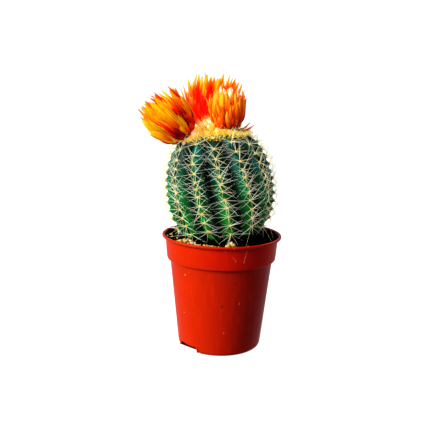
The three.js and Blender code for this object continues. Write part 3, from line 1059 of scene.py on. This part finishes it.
def makeSoil():
    foot = pot["foot"] - 0.0055
    wallTop = pot["foot"] + pot["taper"] - pot["wall"] - 0.0005
    sides = [(foot, soilLow.z), (pot["foot"] - 0.0014, 0.0045), (wallTop, 0.0645), (wallTop + 0.0016, 0.067)]
    radii = [soil["edge"] * (1 - i / soil["rings"]) for i in range(soil["rings"])]
    piece = turnedShape(sides + [(r, soilTop(r)) for r in radii], 120)
    mesh = openMesh(piece)
    pick(mesh, [p for p in mesh.verts if math.hypot(p.co.x, p.co.y) < radii[-1] * 1.03])
    bpy.ops.mesh.merge(type="CENTER")
    faceOutwards()
    closeMesh()
    top = piece.vertex_groups.new(name="top")
    top.add([p.index for p in piece.data.vertices if p.co.z > soil["height"] - 0.0001], 1, "REPLACE")
    cloud = bpy.data.textures.new("soilCloud", "CLOUDS")
    cloud.noise_scale, cloud.noise_depth = soil["cloud"], 4
    modify(piece, "DISPLACE", texture=cloud, texture_coords="GLOBAL", direction="Z", vertex_group="top",
           strength=soil["depth"], mid_level=0.6)
    return piece


def lumps(model, spots):
    # spots give x, y, z and size
    places = []
    for x, y, z, size in spots:
        turned = (Matrix.Rotation(chance.uniform(*anyTurn), 4, "Z")
                  @ Matrix.Rotation(chance.uniform(*anyTurn), 4, "X"))
        flat = Matrix.Diagonal((size * chance.uniform(0.9, 1.3), size, size * chance.uniform(0.7, 1), 1))
        places.append(Matrix.Translation((x, y, z)) @ turned @ flat)
    return copyJoined(model, places, tint=[chance.random() for _ in places])


def ringSpot(turn, r, lift, size):
    return (r * math.sin(turn), -r * math.cos(turn), soilTop(r) + lift, size)


peatFinish = peat()
finishPiece(makeSoil(), "soil", peatFinish, ["soil"], 60)
crumbs = {"count": 1300, "inner": 0.2, "reach": 0.0392, "lift": (-0.0004, 0.0004), "size": (0.0004, 0.0011)}
crumbModel = lumpModel(1, 0.25, 2)
spots = [ringSpot(chance.uniform(0, math.tau),
                  math.sqrt(chance.uniform(crumbs["inner"], 1)) * crumbs["reach"],
                  chance.uniform(*crumbs["lift"]), chance.uniform(*crumbs["size"]))
         for _ in range(crumbs["count"])]
finishPiece(lumps(crumbModel, spots), "soilCrumbs", peatFinish)

# each heap: from and to which turn, how many, nearest and farthest radius, height, largest size
granules = {
    "Left": {"nodes": range(1, 13), "heaps": (
        (-53, -31, 85, 33, 39.4, 2.6, 1.0), (-28, -1, 60, 36, 39.8, 1.5, 0.9),
        (-95, -55, 20, 33, 39.2, 0.8, 0.7))},
    "Right": {"nodes": range(13, 17), "heaps": (
        (3.5, 15, 64, 36.4, 39.6, 3.8, 1.0), (41, 43, 2, 40.2, 40.6, 1.6, 0.6),
        (17, 36, 7, 38.6, 39.6, 1.2, 0.5))},
}
smallest = 0.4
stoneFinish = tanStone()
grainModel = lumpModel(2, 0.2, 9)
for side, grains in granules.items():
    spots = []
    for start, end, count, near, far, height, largest in grains["heaps"]:
        for _ in range(count):
            across = chance.uniform(-1, 1)
            turn = math.radians((start + end + (end - start) * across) / 2)
            lift = height * chance.random() * (1 - across * across) + 0.2
            radius, size = chance.uniform(near, far), chance.uniform(smallest, largest)
            spots.append(ringSpot(turn, radius * mm, lift * mm, size * mm))
    finishPiece(lumps(grainModel, spots), "granules" + side, stoneFinish,
                [f"grain_{number:02d}" for number in grains["nodes"]])

# each fibre on the rim's band: turns in degrees and heights
fibres = {
    "thick": 0.1, "stand": 0.15,
    "lines": (((1.9, 78.9), (7.5, 76.4), (12.3, 73.6), (14.0, 72.0), (14.8, 70.4)),
              ((26.4, 80.2), (25.0, 77.6), (24.3, 74.9), (23.2, 72.2), (22.6, 69.8)),
              ((8.0, 80.4), (8.3, 79.8), (8.2, 79.1), (8.6, 78.4), (8.8, 77.8))),
}


def makeFibres():
    made = []
    low, rise = pot["foot"] + pot["taper"] + pot["bandStep"], pot["shoulder"]
    for line in fibres["lines"]:
        bpy.ops.curve.primitive_nurbs_path_add()
        path = bpy.context.object
        for point, (degrees, height) in zip(path.data.splines[0].points, line):
            turn, up = math.radians(degrees), height * mm
            share = (up - rise) / (pot["height"] - rise)
            r = low + pot["bandFlare"] * share + fibres["stand"] * mm
            point.co = (r * math.sin(turn), -r * math.cos(turn), up, 1)
        path.data.splines[0].use_endpoint_u = True
        path.data.bevel_depth, path.data.bevel_resolution = fibres["thick"] * mm, 1
        path.data.use_fill_caps = True
        makeActive(path)
        bpy.ops.object.convert(target="MESH")
        made.append(bpy.context.object)
    return joinAll(made)


finishPiece(makeFibres(), "rimFibres", fibre("paleFibre", (0.85, 0.36, 0.26), (0.7, 0.16, 0.1)))
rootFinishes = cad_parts["roots"].data.materials
rootFinishes.clear()
rootFinishes.append(fibre("rootFibre", (0.5, 0.34, 0.18), (0.2, 0.12, 0.06)))
for tool in (spineModel, tuft, floretModel, crumbModel, grainModel, *bractModels):
    bpy.data.objects.remove(tool)
print("soil, granules and fibres")
